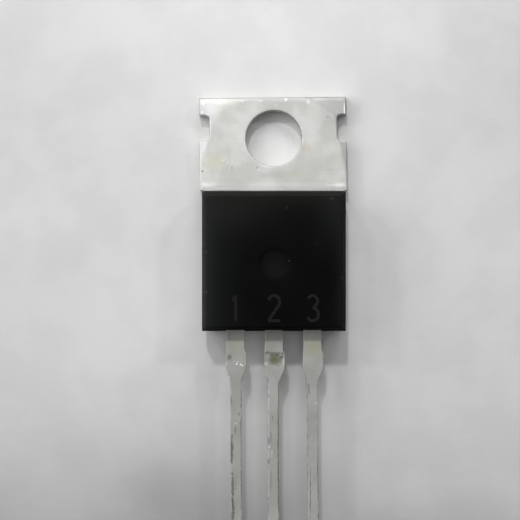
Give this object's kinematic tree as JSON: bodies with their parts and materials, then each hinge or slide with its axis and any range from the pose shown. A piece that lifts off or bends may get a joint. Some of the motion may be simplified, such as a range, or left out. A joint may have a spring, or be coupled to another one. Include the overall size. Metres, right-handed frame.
{
  "type": "power transistor",
  "caption": "Through-hole power transistor: a drilled metal heat-sink tab, a moulded black body and straight flat leads for soldering.",
  "frame": {"origin": "centre of the tab's mounting hole, on the mounting face at the back of the package", "axes": "+Z out of the front of the body, +Y from the leads to the free end of the tab, +X across the package"},
  "size_m": [0.0098, 0.0287, 0.0045],
  "materials": {
    "tinned_copper": "matt tin plating over stamped copper, lightly scuffed",
    "tinned_lead": "matt tin plating over stamped copper, stained and scratched by use",
    "solder": "dull soft solder",
    "silicon": "opaque silicon with a metallised top",
    "bond_wire": "drawn aluminium wire",
    "moulding_compound": "fine-grained black moulding compound"
  },
  "bodies": {
    "root": {"heat_sink_with_drain_lead": "tinned_copper", "gate_lead": "tinned_lead", "source_lead": "tinned_lead", "chip_solder": "solder", "silicon_chip": "silicon", "gate_bond_wire": "bond_wire", "left_source_bond_wire": "bond_wire", "right_source_bond_wire": "bond_wire", "moulded_body": "moulding_compound"}
  },
  "joints": []
}
